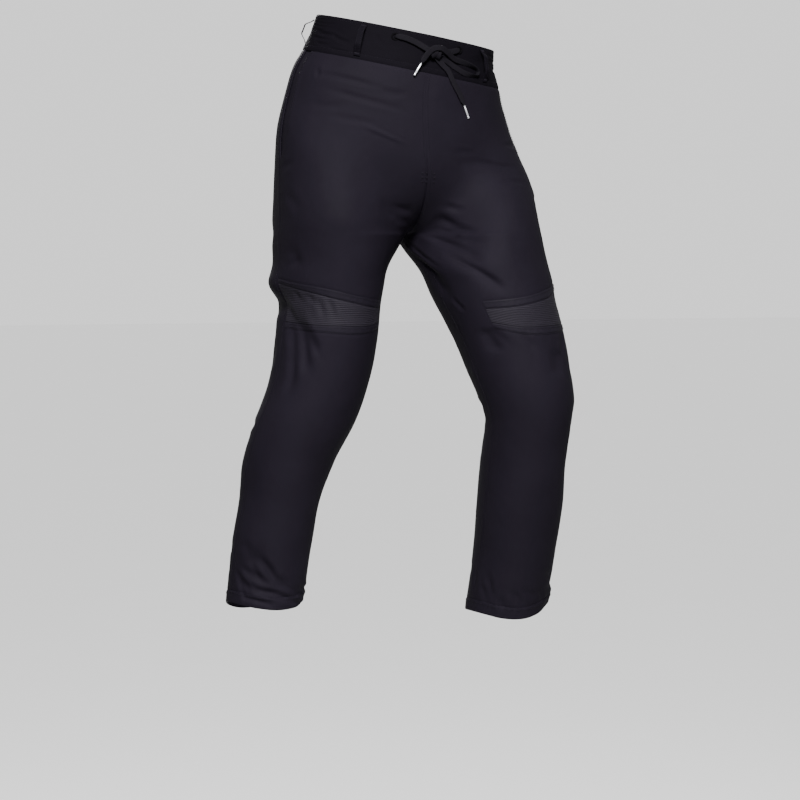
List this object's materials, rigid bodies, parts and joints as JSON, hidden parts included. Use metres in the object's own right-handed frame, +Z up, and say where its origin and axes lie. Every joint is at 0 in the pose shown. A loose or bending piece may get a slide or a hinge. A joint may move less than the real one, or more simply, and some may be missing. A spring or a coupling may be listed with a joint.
{
  "type": "motorcycle trousers",
  "caption": "Hollow riding trousers in a worn pose: elastic waist with tied lace, belt loops, side pockets and ribbed stretch panels over the knees.",
  "frame": {"origin": "centre of the waistband's ring, at half its height", "axes": "+Z up, +X towards the wearer's left, -Y the front"},
  "size_m": [0.46, 0.3477, 0.8663],
  "materials": {
    "cloth": "matte",
    "rib": "satin",
    "lace": "matte",
    "eyelet": "matte",
    "metal": "brushed"
  },
  "bodies": {
    "root": {"front_R": "cloth", "front_L": "cloth", "back_R": "cloth", "back_L": "cloth", "pocket_facing_R": "cloth", "pocket_facing_L": "cloth", "hem_R": "cloth", "hem_L": "cloth", "knee_trim_top_R": "cloth", "knee_trim_top_L": "cloth", "knee_trim_low_R": "cloth", "knee_trim_low_L": "cloth", "waistband": "cloth", "belt_loop_front_R": "cloth", "belt_loop_front_L": "cloth", "belt_loop_side_R": "cloth", "belt_loop_side_L": "cloth", "belt_loop_back": "cloth", "knee_panel_R": "rib", "knee_panel_L": "rib", "lace_R_in": "lace", "lace_R_end": "lace", "lace_L_in": "lace", "lace_L_loop": "lace", "knot": "lace", "eyelet_R": "eyelet", "eyelet_L": "eyelet", "aglet_R": "metal", "aglet_L": "metal"}
  },
  "joints": []
}
